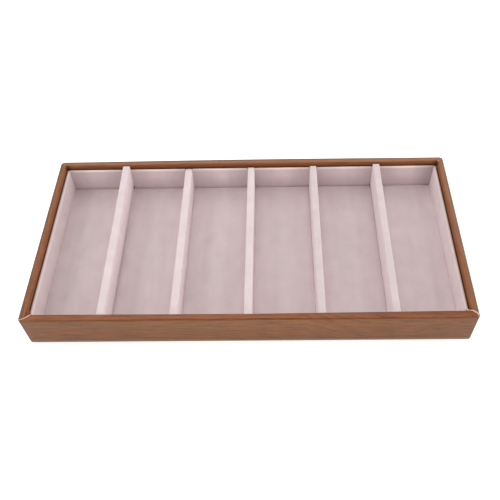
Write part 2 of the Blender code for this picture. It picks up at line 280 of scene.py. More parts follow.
def leatherette_material():
    """Polyurethane leatherette, calendered smooth and printed with a straight wood grain.

    The print gives long fine streaks, short dark pores and a slow drift from orange to greyish brown.
    Painted shade and a painted dark reflection darken the print along the rim's folds and in its inner corners, a
    painted grey reflection lies along its outer folds and upright corners, and painted light pales the rear and the
    top of the front.
    """
    look = bpy.context.scene.tray_colours
    made, tree, surface = new_material("printed_polyurethane_leatherette", IOR=1.5, Specular_IOR_Level=0.25)
    strip = add(tree, "ShaderNodeUVMap", uv_map="strip")
    run, rise, _ = add(tree, "ShaderNodeSeparateXYZ", (strip,)).node.outputs

    # The grain wavers up and down, and in the figure it runs steeply down across the face, then levels out
    waver = pattern(tree, strip, WAVER, 2)
    figure = add(tree, RANGE, (run, FIGURE_START, FIGURE_END, 1, 0))
    figure = add(tree, MATH, (figure, FIGURE_POWER), operation="POWER")
    across = layered(tree, rise, (waver, WAVER_REACH), (figure, -FIGURE_FALL))
    grain = add(tree, "ShaderNodeCombineXYZ", (run, across))
    bold, fine, tone, pores = (
        pattern(tree, grain, (length * MM, width * MM, 1), detail, roughness, noise_dimensions="2D")
        for length, width, detail, roughness in GRAIN
    )
    pores = add(tree, RANGE, (pores, 0.66, 0.76))

    # Where a point is on the strip: its distance from the nearest corner, its wall, and its place by the rim's folds
    outer, inner = folds_of(bpy.context.scene.tray_sizes)
    corner = from_nearest(tree, run, CORNERS)
    on_rear = add(tree, MATH, (run, CORNERS[1]), operation="LESS_THAN")
    on_right = add(tree, MATH, (run, FRONT_END), operation="GREATER_THAN")
    on_front = add(tree, MATH, (run, FRONT_START), operation="GREATER_THAN")
    on_front = add(tree, MATH, (on_front, on_right), operation="SUBTRACT")
    off_front, less_right = (on_front, 0, 1, 1, 0), (on_right, 0, 1, 1, 0.4)
    below = add(tree, MATH, (rise, outer), operation="LESS_THAN")
    above = add(tree, MATH, (rise, outer - 0.8 * MM), operation="GREATER_THAN")
    reflection_share = add(tree, RANGE, (run, FRONT_END, FRONT_END + 60 * MM, 0.15, 1))
    reflection_share = layered(tree, on_rear, (on_right, reflection_share))
    by_outer, by_inner = from_nearest(tree, rise, [outer]), from_nearest(tree, rise, [inner])
    by_rubbed = from_nearest(tree, rise, [outer + 0.4 * MM])

    # Each row is a tint and its shares
    streaks = (
        (look.wood_grey, (tone, 0.35, 0.68, 0.2, 0.7)),
        (look.wood_light, (bold, 0.52, 0.74, 0, 0.4)),
        (look.wood_dark, (bold, 0.48, 0.26, 0, 0.3)),
        (look.wood_dark, (fine, 0.5, 0.25, 0, 0.95)),
        (look.wood_light, (fine, 0.5, 0.75, 0, 0.75)),
        (look.fold, (pores, 0, 1, 0, 0.45)),
    )
    painted_light_rows = (
        # Painted light brightens the rear wall all over, and the top of the front's middle
        (WHITE, on_rear, (run, 40 * MM - 2 * HALF_LENGTH, -HALF_LENGTH, 0.4, 0.26)),
        (WHITE, (rise, outer - 28 * MM, outer - 3 * MM, 0.05, 0.26), (corner, 30 * MM, 120 * MM), on_front, below),
    )
    marks = (
        # The film's cast over the rims
        (tinted(tree, look.rim_cast, look.front_cast, on_front), (rise, outer, outer + 0.6 * MM, 0, 0.08)),
        # The front rim darkens toward its right end, along its inner half
        (
            look.fold,
            (run, FRONT_MIDDLE + 20 * MM, FRONT_MIDDLE + 160 * MM, 0, 0.45),
            on_front,
            (rise, outer + 1.2 * MM, inner - 1.5 * MM),
        ),
        # Painted reflection pales the rear and right rims along their outer halves, and less so toward the front
        (look.rim_reflection, (rise, outer + 4.2 * MM, outer, 0, 0.45), reflection_share, above),
        # A painted dark reflection lines the front's outer fold, and a painted grey reflection lies along the other
        # outer folds over a broader band
        (look.fold, (by_outer, 1.2 * MM, 0.5 * MM), (corner, 0, 70 * MM, 0.18, 0.42), on_front),
        (look.painted_grey_edge, (by_rubbed, 1.7 * MM, 0.7 * MM, 0, 0.75), less_right, off_front),
        # Painted shade darkens the inner fold, greyish and stronger on the front
        (tinted(tree, look.fold, look.painted_grey_edge, on_front), (by_inner, 1 * MM, 0.2 * MM), (on_front, 0, 1, 0.3, 0.65)),
        (look.foot, (rise, FOOT_FOLD + 3.2 * MM, FOOT_FOLD + 1.8 * MM, 0, 0.7)),
        # A painted grey reflection lies on the upright corners, more so on the left
        (look.painted_grey_edge, (corner, 3.6 * MM, 1.6 * MM), below, (run, FRONT_START, FRONT_END, 0.85, 0.6)),
        # It is shaded inside the rim, and less so on the right, where the lining stands off and lets light in
        (look.shade, (rise, inner + 0.5 * MM, inner + 4.5 * MM, 0, 0.75), less_right),
        # Painted shade darkens the rim's inner corners
        (look.fold, (corner, 10.5 * MM, 6.5 * MM), (rise, inner - 1.2 * MM, inner + 0.2 * MM, 0, 0.7)),
    )
    base = look.wood
    for how, rows in (("MIX", streaks), ("SOFT_LIGHT", painted_light_rows), ("MIX", marks)):
        for tint, *shares in rows:
            base = tinted(tree, base, tint, *shares, how=how)
    relief = layered(tree, bold, (fine, 0.6), (pores, -0.8))
    put_on(tree, surface, base, relief, strength=0.35, depth=0.08 * MM)
    put(tree, surface, {"Roughness": add(tree, RANGE, (fine, 0.2, 0.8, 0.36, 0.5))})
    return made


def cut_edge_material():
    """Knitted cotton backing of the leatherette, cut with a knife: a pale, matt, fibrous line."""
    look = bpy.context.scene.tray_colours
    made, tree, surface = new_material("cut_cotton_backing", Roughness=0.85, Sheen_Weight=0.3)
    place = add(tree, "ShaderNodeTexCoord", output="Object")
    fibres = pattern(tree, place, [0.9 * MM] * 3, 3)
    tint = tinted(tree, look.wood_light, look.backing, (fibres, 0.2, 0.5, 0.6, 1))
    put_on(tree, surface, tint, fibres, strength=0.5, depth=0.1 * MM)
    return made


# How far apart the dividers stand, and the heights between which the painted shadow on the velvet beside them grows
COMPARTMENT = 57.3 * MM
HOLLOW_LOW, HOLLOW_HIGH = 6 * MM, 20 * MM
# How far from the tray's left and right walls the velvet takes painted shade, and where its top edge takes a painted
# warm highlight
END_SHADE = 18 * MM
TOP_HIGHLIGHT_LOW, TOP_HIGHLIGHT_HIGH = 26.4 * MM, 27.3 * MM
# The highest of the velvet's tones, which are painted light and shade
BRIGHTEST = 1.3
# Pile tufts are 0.2 mm across in the real cloth and are drawn at 0.7 mm so that they show
TUFTS, MOTTLE = [0.7 * MM] * 3, [14 * MM] * 3
FLOOR_NAP, UPRIGHT_NAP = (6 * MM, 30 * MM, 6 * MM), (8 * MM, 8 * MM, 20 * MM)
# Each place's velvet, a lit or shaded copy of one velvet: the size of its brushed patches, its painted light and
# shade by height, how much painted shadow it takes beside the dividers, its painted shade at the tray's two ends,
# and the strength of its top edge's painted warm highlight
REAR_TONES = ((4, 0.86), (8, 0.89), (14, 0.95), (19, 1.01), (26.4, 1.02), (27.4, 1.09))
VELVETS = {
    "floor": (FLOOR_NAP, ((3, 1.015), (8, 1.015)), 0.12, (0.9, 1), 0),
    "front": (UPRIGHT_NAP, ((4, 1), (28, 1)), 0, (1, 1), 0.4),
    "rear": (UPRIGHT_NAP, REAR_TONES, 0.16, (0.92, 0.7), 0.4),
    "left": (UPRIGHT_NAP, ((4, 1), (12, 0.98), (24, 0.9), (26.5, 0.93), (27.4, 0.99)), 0, (1, 1), 0.25),
    "right": (UPRIGHT_NAP, ((4, 1.02), (15, 1.03), (26.4, 1.01), (27.4, 1.04)), 0, (1, 1), 0.25),
    "left_dividers": (UPRIGHT_NAP, ((4, 1), (24, 1.02), (27.4, 1.08)), 0, (1, 1), 0),
    "right_dividers": (UPRIGHT_NAP, ((4, 1.03), (24, 1.03), (27.4, 0.98)), 0, (1, 1), 0),
}


def velvet_material(name, nap, tones, hollow, ends, warmth):
    """Short-pile polyester velvet, woven and brushed: matt, with brushed patches and a pale sheen at low angles.

    The nap's scale runs across and along the way that the pile was brushed. The tones are heights in millimetres and
    how bright the velvet is there, as painted light and shade. Hollow is how much painted shadow it takes beside the
    dividers, ends are its painted shade at the tray's left and right walls, and warmth is how strongly its top edge
    takes a painted highlight, warmed by light thrown back from the rim.
    """
    look = bpy.context.scene.tray_colours
    sheen = {"Sheen_Weight": 0.45, "Sheen_Roughness": 0.45, "Sheen_Tint": look.velvet_sheen}
    made, tree, surface = new_material(name, Roughness=0.9, Specular_IOR_Level=0.2, **sheen)
    place = add(tree, "ShaderNodeTexCoord", output="Object")
    along, _, rise = add(tree, "ShaderNodeSeparateXYZ", (place,)).node.outputs
    tufts, strokes, mottle = (
        pattern(tree, place, lengths, detail) for lengths, detail in ((TUFTS, 2), (nap, 3), (MOTTLE, 2))
    )
    lie = layered(tree, mottle, (strokes, 0.8), (tufts, 0.5))
    tint = tinted(tree, look.velvet_dark, look.velvet, (lie, 0.75, 1.55))
    if warmth:
        tint = tinted(tree, tint, look.velvet_warm, (rise, TOP_HIGHLIGHT_LOW, TOP_HIGHLIGHT_HIGH, 0, warmth))

    low, high = tones[0][0] * MM, tones[-1][0] * MM
    ramp = add(tree, "ShaderNodeValToRGB", (add(tree, RANGE, (rise, low, high)),))
    steps = ramp.node.color_ramp.elements
    for height, _ in tones[1:-1]:
        steps.new((height * MM - low) / (high - low))
    for step, (_, tone) in zip(steps, tones):
        step.color = (*[tone / BRIGHTEST] * 3, 1)
    shades = [BRIGHTEST]
    if hollow:
        turns = add(tree, MATH, (along, 2 * math.pi / COMPARTMENT), operation="MULTIPLY")
        wave = add(tree, MATH, (turns,), operation="COSINE")
        depth = add(tree, RANGE, (rise, HOLLOW_LOW, HOLLOW_HIGH, -hollow / 4, -hollow))
        shades.append(add(tree, MATH, (wave, depth, 1), operation="MULTIPLY_ADD"))
        for wall, inward, end in ((FLOOR_LOW.x, END_SHADE, ends[0]), (FLOOR_HIGH.x, -END_SHADE, ends[1])):
            shades.append(add(tree, RANGE, (along, wall, wall + inward, end, 1)))
    tone = ramp
    for shade in shades:
        tone = add(tree, MATH, (tone, shade), operation="MULTIPLY")
    toned = add(tree, "ShaderNodeHueSaturation", {"Value": tone, "Color": tint})
    put_on(tree, surface, toned, layered(tree, tufts, (strokes, 0.7)), strength=0.3, depth=0.2 * MM)
    return made


# The sizes of the boards' clouds and flecks
CLOUD, FIBREBOARD_FLECK, GREYBOARD_FLECK = 20 * MM, 1.2 * MM, 1.6 * MM


def board_material(name, main, fleck, contrast):
    """Pressed fibre: a matt board with fine flecks lighter and darker than its main colour."""
    made, tree, surface = new_material(name, Roughness=0.88, Specular_IOR_Level=0.3)
    place = add(tree, "ShaderNodeTexCoord", output="Object")
    flecks = pattern(tree, place, [fleck] * 3, 4, 0.7)
    total = layered(tree, flecks, (pattern(tree, place, [CLOUD] * 3, 2), 0.5))
    dark, light = ([min(1, channel * (1 + change)) for channel in main] for change in (-contrast, contrast))
    tint = tinted(tree, dark, light, (total, 0.45, 1.05))
    put_on(tree, surface, tint, flecks, strength=0.4, depth=0.1 * MM)
    return made


# Threads are 0.3 mm wide in the real cloth and are drawn 0.8 mm wide so that they show. A Wave node repeats every
# pi / 10 at scale 1: a thread, and the gap beside it, which is darker.
THREAD = 0.8 * MM
THREAD_SCALE = math.pi / 10 / (2 * THREAD)
GAP_SHADE = 0.7


def cloth_material(main):
    """Flat woven polyester cloth, glued: a matt plain weave whose threads cross at right angles."""
    made, tree, surface = new_material("flat_woven_backing_cloth", Roughness=0.9, Sheen_Weight=0.2)
    place = add(tree, "ShaderNodeTexCoord", output="Object")
    bands = {"Vector": place, "Scale": THREAD_SCALE, "Distortion": 0.6, "Detail": 1}
    threads = [add(tree, "ShaderNodeTexWave", bands, 1, bands_direction=direction) for direction in "XY"]
    weave = add(tree, MATH, threads, operation="MULTIPLY")
    gaps = [channel * GAP_SHADE for channel in main]
    put_on(tree, surface, tinted(tree, gaps, main, weave), weave, strength=0.5, depth=0.15 * MM)
    return made


def material(name, make, *given):
    """The material of that name, made the first time it is asked for."""
    return bpy.data.materials.get(name) or make(*given)


def leatherette():
    """The wrap's leatherette."""
    return material("printed_polyurethane_leatherette", leatherette_material)


def velvet_for(place):
    """The velvet of a place in the tray."""
    name = f"brushed_polyester_velvet_{place}"
    return material(name, velvet_material, name, *VELVETS[place])


# How near two places count as one, how far apart meshes are cut so that they can bend, and the angles from which
# an edge counts as a box's own and is drawn sharp
NEAR = 0.1 * MM
SLICE = 4 * MM
SQUARE, SHARP = math.radians(60), math.radians(40)
# The way that each seed moves through the noise, and the seeds of the floor, of a lining's top and of a divider
SEED_PATH = Vector((1, 0.37, -1))
FLOOR_SEED, TOP_SEED, DIVIDER_SEED = 3, 40, 3


def wavering(point, step, reach, seed):
    """A smooth offset from -reach to reach that changes over a step."""
    return reach * noise.noise(Vector(point) / step + SEED_PATH * seed)


def rising(value, low, high):
    """How far a value is on its way from low to high, from 0 to 1."""
    return min(max((value - low) / (high - low), 0), 1)


def open_block(low, high):
    """A bmesh box between two corners, open at its foot."""
    mesh = bmesh.new()
    bmesh.ops.create_cube(mesh, size=1)
    low, high = Vector(low), Vector(high)
    bmesh.ops.scale(mesh, vec=high - low, verts=mesh.verts)
    bmesh.ops.translate(mesh, vec=(low + high) / 2, verts=mesh.verts)
    foot = [face for face in mesh.faces if face.normal.z < -0.5]
    bmesh.ops.delete(mesh, geom=foot, context="FACES_ONLY")
    return mesh


def slice_along(mesh, axis, low, high, step=SLICE):
    """Cuts a mesh across an axis about every step."""
    count = max(1, round((high - low) / step))
    normal = Vector((0, 0, 0))
    normal[axis] = 1
    for cut in range(1, count):
        at = normal * (low + (high - low) * cut / count)
        whole = mesh.verts[:] + mesh.edges[:] + mesh.faces[:]
        bmesh.ops.bisect_plane(mesh, geom=whole, plane_co=at, plane_no=normal)


def bevel(mesh, edges, radius, segments):
    """Rounds some edges of a mesh."""
    bmesh.ops.bevel(mesh, geom=edges, offset=radius, segments=segments, profile=0.5, affect="EDGES", material=-1)


def edges_with(mesh, test):
    """Edges whose two ends both pass a test."""
    return [edge for edge in mesh.edges if all(test(vert.co) for vert in edge.verts)]


def top_edges(mesh, height):
    """Edges round the flat top of a mesh."""
    level = edges_with(mesh, lambda at: at.z > height - NEAR)
    return [edge for edge in level if edge.calc_face_angle(0) > SQUARE]


def sheet_through(rows):
    """A bmesh grid put through rows of points, and the row and column of each of its vertices."""
    mesh = bmesh.new()
    across, along = len(rows[0]) - 1, len(rows) - 1
    bmesh.ops.create_grid(mesh, x_segments=across, y_segments=along, size=0.5)
    places = {}
    for vert in mesh.verts:
        row, column = round((vert.co.y + 0.5) * along), round((vert.co.x + 0.5) * across)
        places[vert] = (row, column)
        vert.co = rows[row][column]
    mesh.normal_update()
    return mesh, places


def object_of(name, mesh, materials):
    """Makes a bmesh an object in the scene."""
    data = bpy.data.meshes.new(name)
    mesh.to_mesh(data)
    mesh.free()
    for one in materials:
        data.materials.append(one)
    made = bpy.data.objects.new(name, data)
    bpy.context.scene.collection.objects.link(made)
    return made


def finished(name, mesh, materials, nodes, thickness, body="tray"):
    """Makes a piece of a bmesh: it hides the CAD nodes whose place it takes, wears the given finishes, is given a
    thickness and rides on a body.
    """
    made = object_of(name, mesh, materials)
    made.data.shade_smooth()
    made.data.set_sharp_from_angle(angle=SHARP)
    wall = made.modifiers.new("thickness", "SOLIDIFY")
    wall.thickness = thickness
    wall.offset = -1
    wall.use_even_offset = True
    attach(made, body)
    if nodes:
        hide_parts(*nodes)


def arc(centre, radius, start, end, steps):
    """Points along a circular arc in a plane, its angles in degrees."""
    angles = [math.radians(start + (end - start) * step / steps) for step in range(steps + 1)]
    return [(centre[0] + radius * math.cos(angle), centre[1] + radius * math.sin(angle)) for angle in angles]


def spaced(start, end, count):
    """Points that split the line between two others into a count of stretches, without those two."""
    start, end = Vector(start), Vector(end)
    return [tuple(start.lerp(end, step / count)) for step in range(1, count)]


def lengths_along(points):
    """How far along a line each of its points is, measured in its first two numbers."""
    lengths = [0]
    for first, second in zip(points, points[1:]):
        lengths.append(lengths[-1] + (Vector(second[:2]) - Vector(first[:2])).length)
    return lengths


def between(points, share):
    """The point at a share of the length of a line."""
    lengths = lengths_along(points)
    wanted = share * lengths[-1]
    at = next((at for at, length in enumerate(lengths) if at and wanted <= length), len(points) - 1)
    part = (wanted - lengths[at - 1]) / (lengths[at] - lengths[at - 1])
    return Vector(points[at - 1]).lerp(Vector(points[at]), part)


# Steps round the wrap's fold at the foot, its two folds at the rim and its upright corners, how far apart its other
# rows are, and how many stretches each wall has, from the seam in the rear wall anticlockwise round to it
FOOT_STEPS, RIM_STEPS, CORNER_STEPS = 6, 8, 8
SECTION_STEP = 2.5 * MM
RUNS = (4, 28, 58, 28, 54)


def wrap_section(sizes):
    """The wrap's outer face: distance in from the tray's side, and height."""
    rim, inner, foot = sizes.rim_round, sizes.rim_inner_round, sizes.foot_round
    stretches = (
        [(sizes.under_foot, 0)],
        arc((foot, foot), foot, 270, 180, FOOT_STEPS),
        arc((rim, RIM_TOP - rim), rim, 180, 90, RIM_STEPS),
        arc((sizes.rim_width - inner, RIM_TOP - inner), inner, 90, 0, RIM_STEPS),
        [(sizes.rim_width, RIM_TOP - sizes.inside_drop)],
    )
    points = []
    for stretch in stretches:
        if points:
            gap = (Vector(stretch[0]) - Vector(points[-1])).length
            points += spaced(points[-1], stretch[0], max(1, round(gap / SECTION_STEP)))
        points += stretch
    return points


def folds_of(sizes):
    """Where the middles of the rim's outer and inner folds are, across the strip."""
    eighth = math.pi / 4
    outer = sizes.under_foot + (2 * eighth - 2) * sizes.foot_round + RIM_TOP - (1 - eighth) * sizes.rim_round
    flat = sizes.rim_width - sizes.rim_round - sizes.rim_inner_round
    return outer, outer + flat + eighth * (sizes.rim_round + sizes.rim_inner_round)


def rounding_at(side_y, sizes):
    """The radius of an upright corner at the front or at the rear."""
    return sizes.rear_corner_round if side_y > 0 else sizes.corner_round


def wrap_outline(inset, sizes):
    """The tray's outline at a distance in from its sides, anticlockwise from the rear seam round to it, and
    the side that each stretch of it belongs to."""
    rear = HALF_DEPTH - inset
    seam = (SEAM_X, rear)
    points, sides = [seam], []
    for quarter, (side_x, side_y) in enumerate(QUARTERS, 1):
        radius = max(rounding_at(side_y, sizes) - inset, sizes.crease_round)
        centre = (side_x * (HALF_LENGTH - inset - radius), side_y * (rear - radius))
        corner = arc(centre, radius, 90 * quarter, 90 * quarter + 90, CORNER_STEPS)
        run = spaced(points[-1], corner[0], RUNS[quarter - 1])
        points += run + corner
        sides += [quarter - 1] * (len(run) + 1 + CORNER_STEPS // 2) + [quarter % 4] * (CORNER_STEPS // 2)
    run = spaced(points[-1], seam, RUNS[4])
    return points + run + [seam], sides + [0] * (len(run) + 1)


def along_side(side, point):
    """How far along the strip a point is."""
    return (
        -point.x - HALF_LENGTH,
        HALF_DEPTH - point.y,
        FRONT_START + point.x + HALF_LENGTH,
        FRONT_END + point.y + HALF_DEPTH,
    )[side]


# Where the front rim's bow fades out: in from the front, and down from the rim's top
BOW_IN, BOW_DOWN = (9 * MM, 6 * MM), (-3.5 * MM, -1.5 * MM)
# The rear rim's crown: how far in from the rear it reaches, where it fades out below the rim's top, how long it is
# for the tray's length, and how much of the outer edge's rounding it takes away
CROWN_DEPTH, CROWN_DOWN = 12 * MM, (-8 * MM, -2 * MM)
CROWN_LENGTH, CROWN_SHARPENS = 0.8, 0.6


def bowed(place, sizes):
    """A point of the wrap, moved where the front rim is wider toward its ends and the rear rim is crowned."""
    reach = (sizes.right_bow if place.x > 0 else sizes.left_bow) * abs(place.x) / HALF_LENGTH
    inset, rise = place.y + HALF_DEPTH, place.z - RIM_TOP
    weight = rising(inset, sizes.rim_width / 2, sizes.rim_width) * rising(inset, *BOW_IN) * rising(rise, *BOW_DOWN)
    moved = place + Vector((0, reach * weight, 0))
    middle = 1 - min(abs(place.x) / (CROWN_LENGTH * HALF_LENGTH), 1) ** 2
    if place.y > HALF_DEPTH - CROWN_DEPTH:
        moved.z += sizes.rear_crown * middle * rising(rise, *CROWN_DOWN)
        # Its outer edge is sharper too
        if place.y > HALF_DEPTH - sizes.rim_round and rise > -sizes.rim_round:
            moved.y += CROWN_SHARPENS * middle * (HALF_DEPTH - place.y)
            moved.z -= CROWN_SHARPENS * middle * rise
    return moved


class TRAY_OT_wrap(bpy.types.Operator):
    """Folds a strip of wood-grain leatherette round the four walls"""

    bl_idname = "tray.wrap"
    bl_label = "Leatherette wrap"

    def execute(self, context):
        sizes = context.scene.tray_sizes
        section = wrap_section(sizes)
        across = lengths_along(section)
        rows, sides = [], None
        for inset, height in section:
            outline, sides = wrap_outline(inset, sizes)
            rows.append([(*point, height) for point in outline])
        mesh, places = sheet_through(rows)
        strip = mesh.loops.layers.uv.new("strip")
        for face in mesh.faces:
            side = sides[min(places[vert][1] for vert in face.verts)]
            for loop in face.loops:
                loop[strip].uv = (along_side(side, loop.vert.co), across[places[loop.vert][0]])
        bmesh.ops.remove_doubles(mesh, verts=mesh.verts, dist=0.01 * MM)
        for vert in mesh.verts:
            vert.co = bowed(vert.co, sizes)
        name, node = "leatherette_wrap_strip", "leatherette_wrap"
        finished(name, mesh, [leatherette()], [node], sizes.wrap)
        return {"FINISHED"}


# The cut across each corner of the rim: which side's flap lies on top (0 rear, 1 left, 2 front, 3 right), points
# of its cut, and how wide the pale cut edge is at each. A point's first number is how far it is from the
# corner along the flap, its second is how far in from the flap's outer face, both in millimetres.
LAPS = {
    "front_left": (
        1,
        ((1.25, 0.9), (1.45, 2.1), (2.2, 3.92), (3.1, 5.64), (4.1, 7.28), (4.9, 8.4), (5.8, 9.6)),
        (0.5, 0.7, 0.75, 0.75, 0.75, 0.75, 0.5),
    ),
    "front_right": (
        2,
        ((1.3, 0.9), (0.8, 1.9), (1, 3.1), (2.3, 4), (3.6, 4.6), (5, 5.4), (7.4, 5.6), (9.4, 5.3)),
        (1.1, 1.3, 1.3, 1.1, 1, 0.9, 0.8, 0.5),
    ),
    "rear_right": (3, ((1.5, 1.3), (2.5, 1.9), (4.1, 3.3), (5.1, 4.5), (6.2, 5.5)), (0.03, 0.05, 0.4, 0.7, 0.4)),
    "rear_left": (0, ((1.5, 1.3), (2.2, 2.4), (3.8, 4), (5.2, 5.7)), (0.02, 0.02, 0.02, 0.02)),
}
LAP_COLUMNS, LAP_ROWS = 28, 14
LAP_THICKNESS = 0.25 * MM
# How high the foot of a lap's cut edge is over the flap under it, how near a lap comes to the tray's outer faces,
# how far its cut edge dips at most where it sticks out over the rim's inner edge, in how many rows it comes down
# to the edge's whole rounding, and how deep its far end sinks for its lift
EDGE_FOOT = 0.02 * MM
LAP_CLEAR = 0.2 * MM
MOST_DIP = 0.3 * MM
DIP_ROWS = 3
LAP_SINK = 1.4


def drop(radius, inside):
    """How far a rounded edge falls away at a distance inside the edge."""
    inside = max(inside, 0)
    return radius - math.sqrt(radius**2 - (radius - inside) ** 2) if inside < radius else 0


def rim_height(along, inset, rounding, sizes, most_dip):
    """Height of the rim's surface near a corner, at distances from its two outer faces."""
    outside = min(along, inset)
    if max(along, inset) < rounding:
        outside = rounding - math.hypot(rounding - along, rounding - inset)
    inside = sizes.rim_width - min(along, inset)
    return RIM_TOP - drop(sizes.rim_round, outside) - min(drop(sizes.rim_inner_round, inside), most_dip)


def lap_rows(cut, widths, sizes):
    """Rows across a lap, from the foot of its cut edge to its far end: each point's distances from the corner's
    two outer faces, and how far it stands above the rim."""
    line = [(along * MM, inset * MM, width * MM) for (along, inset), width in zip(cut, widths)]
    points = [between(line, column / LAP_COLUMNS) for column in range(LAP_COLUMNS + 1)]
    rows = [[], []]
    for column, point in enumerate(points):
        ahead = points[min(column + 1, LAP_COLUMNS)] - points[max(column - 1, 0)]
        out = Vector((-ahead.y, ahead.x)).normalized() * point.z / 2
        if out.x > 0:
            out = -out
        rows[0].append((point.xy + out, EDGE_FOOT))
        rows[1].append((point.xy - out, sizes.lap_lift))
    first = [place for place, _ in rows[1]]
    inner = [first[-1], Vector((sizes.lap_length, sizes.rim_width))]
    if first[-1].x < sizes.lap_length / 2:
        inner.insert(1, Vector((sizes.rim_width, sizes.rim_width)))
    for row in range(1, LAP_ROWS + 1):
        share = row / LAP_ROWS
        low = first[0].lerp(Vector((sizes.lap_length, first[0].y)), share)
        high = between(inner, share)
        made = []
        for column, place in enumerate(first):
            part = column / LAP_COLUMNS
            bend = (place - first[0].lerp(first[-1], part)) * (1 - share) ** 2
            made.append((low.lerp(high, part) + bend, sizes.lap_lift * (1 - share * LAP_SINK)))
        rows.append(made)
    return rows


class TRAY_OT_laps(bpy.types.Operator):
    """Laps the wrap's flaps over each other at the rim's corners, with their pale cut edges"""

    bl_idname = "tray.laps"
    bl_label = "Corner laps"

    def execute(self, context):
        sizes = context.scene.tray_sizes
        finishes = [leatherette(), material("cut_cotton_backing", cut_edge_material)]
        start = folds_of(sizes)[0] - (1 - math.pi / 4) * sizes.rim_round
        for name, (side, cut, widths) in LAPS.items():
            rows = lap_rows(cut, widths, sizes)
            turn = Matrix.Rotation(math.radians(90 * side), 2)
            side_x, side_y = QUARTERS[side]
            corner = Vector((side_x * HALF_LENGTH, side_y * HALF_DEPTH))
            placed = []
            for step, row in enumerate(rows):
                most_dip = MOST_DIP + sizes.rim_inner_round * max(0, step - 1) / DIP_ROWS
                line = []
                for place, lift in row:
                    along, inset = max(place.x, LAP_CLEAR), max(place.y, LAP_CLEAR)
                    height = rim_height(along, inset, rounding_at(side_y, sizes), sizes, most_dip) + lift
                    at = corner + turn @ Vector((along, -inset))
                    line.append(bowed(Vector((*at, height)), sizes))
                placed.append(line)
            mesh, places = sheet_through(placed)
            strip = mesh.loops.layers.uv.new("strip")
            for face in mesh.faces:
                face.material_index = int(min(places[vert][0] for vert in face.verts) == 0)
                for loop in face.loops:
                    row, column = places[loop.vert]
                    loop[strip].uv = (along_side(side, loop.vert.co), start + rows[row][column][0].y)
            if sum(face.normal.z for face in mesh.faces) < 0:
                bmesh.ops.reverse_faces(mesh, faces=mesh.faces)
            finished(f"{name}_lap", mesh, finishes, [], LAP_THICKNESS)
        return {"FINISHED"}


# How far the floor's lining reaches in under the wall linings, how fine its fillet is cut and how much of its
# height it keeps, and how long and deep the waves in its pile are
FLOOR_TUCK = 0.2 * MM
FILLET_SLICE = 0.2 * MM
FILLET_SHARE = 0.7
FLOOR_WAVE, FLOOR_WAVER = 22 * MM, 0.15 * MM


class TRAY_OT_floor_lining(bpy.types.Operator):
    """Covers the floor board with velvet"""

    bl_idname = "tray.floor_lining"
    bl_label = "Floor lining"

    def execute(self, context):
        sizes = context.scene.tray_sizes
        tuck = Vector((FLOOR_TUCK, FLOOR_TUCK, 0))
        low = Vector((LEFT_FACE, FRONT_FACE, FLOOR_LOW.z)) - tuck
        high = Vector((RIGHT_FACE, REAR_FACE, FLOOR_HIGH.z)) + tuck
        mesh = open_block(low, high)
        fillet = sizes.floor_fillet
        for axis in (0, 1):
            near, far = low[axis] + FLOOR_TUCK, high[axis] - FLOOR_TUCK
            slice_along(mesh, axis, near, far)
            slice_along(mesh, axis, low[axis], near + fillet, FILLET_SLICE)
            slice_along(mesh, axis, far - fillet, high[axis], FILLET_SLICE)
        for vert in mesh.verts:
            at = vert.co
            if at.z > FLOOR_HIGH.z - NEAR:
                inside = min(at.x - low.x, high.x - at.x, at.y - low.y) - FLOOR_TUCK
                at.z += FILLET_SHARE * drop(fillet, inside) - abs(wavering(at, FLOOR_WAVE, FLOOR_WAVER, FLOOR_SEED))
        finished("floor_lining_velvet", mesh, [velvet_for("floor")], ["floor_velvet"], sizes.velvet)
        return {"FINISHED"}


# How far the wall linings reach down past the floor lining's top, where a point counts as right in one of the
# tray's corners, how many segments round an edge has, and how long the waves in the pile of a face and a top are
LINING_SINK = 0.5 * MM
CORNER_X, CORNER_Y = HALF_LENGTH - 7 * MM, HALF_DEPTH - 6 * MM
TOP_SEGMENTS, END_SEGMENTS = 7, 6
FACE_WAVE, TOP_WAVE = 14 * MM, 18 * MM


class TRAY_OT_wall_linings(bpy.types.Operator):
    """Covers the strips of board along the walls with velvet"""

    bl_idname = "tray.wall_linings"
    bl_label = "Wall linings"

    def execute(self, context):
        sizes = context.scene.tray_sizes
        for seed, strip in enumerate(WALL_STRIPS):
            low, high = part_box(f"{strip}_velvet")
            low.z = FLOOR_HIGH.z - LINING_SINK
            along = 0 if high.x - low.x > high.y - low.y else 1
            across = 1 - along
            if along == 1:
                low.y, high.y = FRONT_FACE, REAR_FACE
            mesh = open_block(low, high)
            if along == 0:
                corner = edges_with(mesh, lambda at: abs(at.x) > CORNER_X and abs(at.y) > CORNER_Y)
                bevel(mesh, corner, sizes.lining_end_round, END_SEGMENTS)
            slice_along(mesh, 2, low.z, high.z)
            slice_along(mesh, along, low[along], high[along])
            top = [
                edge
                for edge in top_edges(mesh, high.z)
                if abs(edge.verts[0].co[along] - edge.verts[1].co[along]) >= NEAR
            ]
            bevel(mesh, top, sizes.strip_round, TOP_SEGMENTS)
            middle = (low + high) / 2
            away = 1 if middle[across] < 0 else -1
            for vert in mesh.verts:
                rise = (vert.co.z - low.z) / (high.z - low.z)
                if (vert.co[across] - middle[across]) * away > 0:
                    vert.co[across] -= away * abs(wavering(vert.co, FACE_WAVE, sizes.pile_waver, seed))
                    if strip.startswith("rear"):
                        vert.co.y -= sizes.rear_lean * (1 - rise)
                vert.co.z -= abs(wavering(vert.co, TOP_WAVE, sizes.pile_waver, seed + TOP_SEED)) * rise
            # Each wall takes its own copy of the velvet, with its own painted light and shade
            cloth = velvet_for(strip.split("_")[0])
            finished(f"{strip}_cover", mesh, [cloth], [f"{strip}_velvet"], sizes.velvet)
        return {"FINISHED"}


